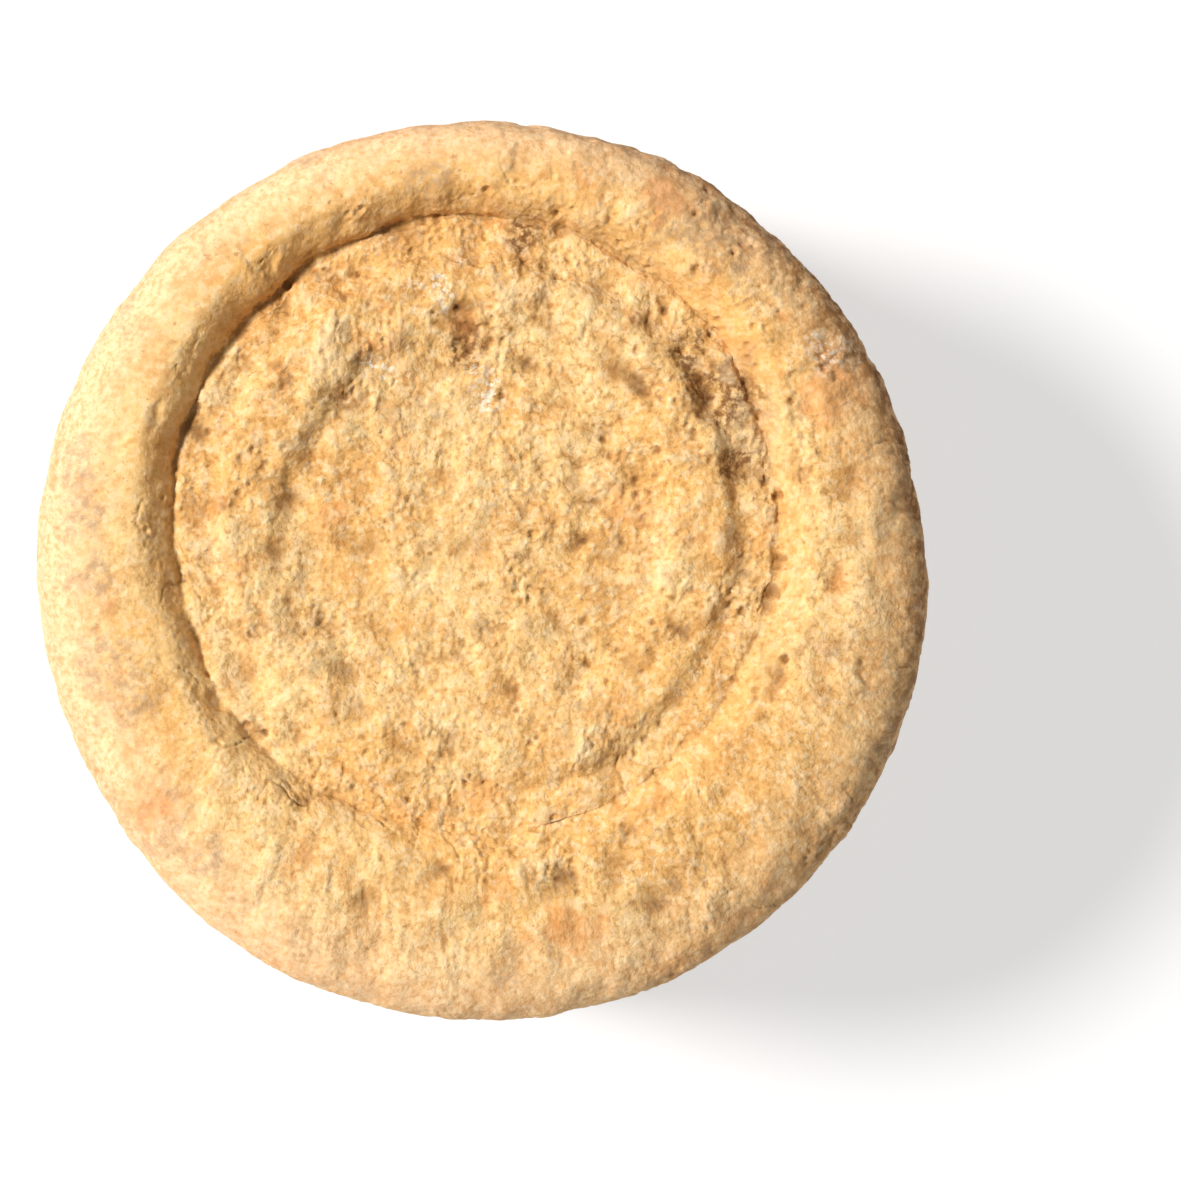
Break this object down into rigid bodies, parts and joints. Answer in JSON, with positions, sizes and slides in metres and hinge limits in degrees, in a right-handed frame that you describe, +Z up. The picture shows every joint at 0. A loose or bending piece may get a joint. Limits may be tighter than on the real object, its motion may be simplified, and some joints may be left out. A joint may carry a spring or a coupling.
{
  "type": "cheese wheel",
  "caption": "Round pressed cheese with a dry granular natural rind, rounded edges and plain rings pressed into its top face.",
  "frame": {"origin": "centre of the flat base that the wheel rests on", "axes": "+Z up, out of the pressed top face; +X to the right and +Y to the top when looking down on that face"},
  "size_m": [0.219, 0.221, 0.13],
  "materials": {
    "rind": "dry, granular, golden ochre natural cheese rind with pits, cream highlights and grey-mauve worn patches"
  },
  "bodies": {
    "root": {"cheese_wheel": "rind"}
  },
  "joints": []
}
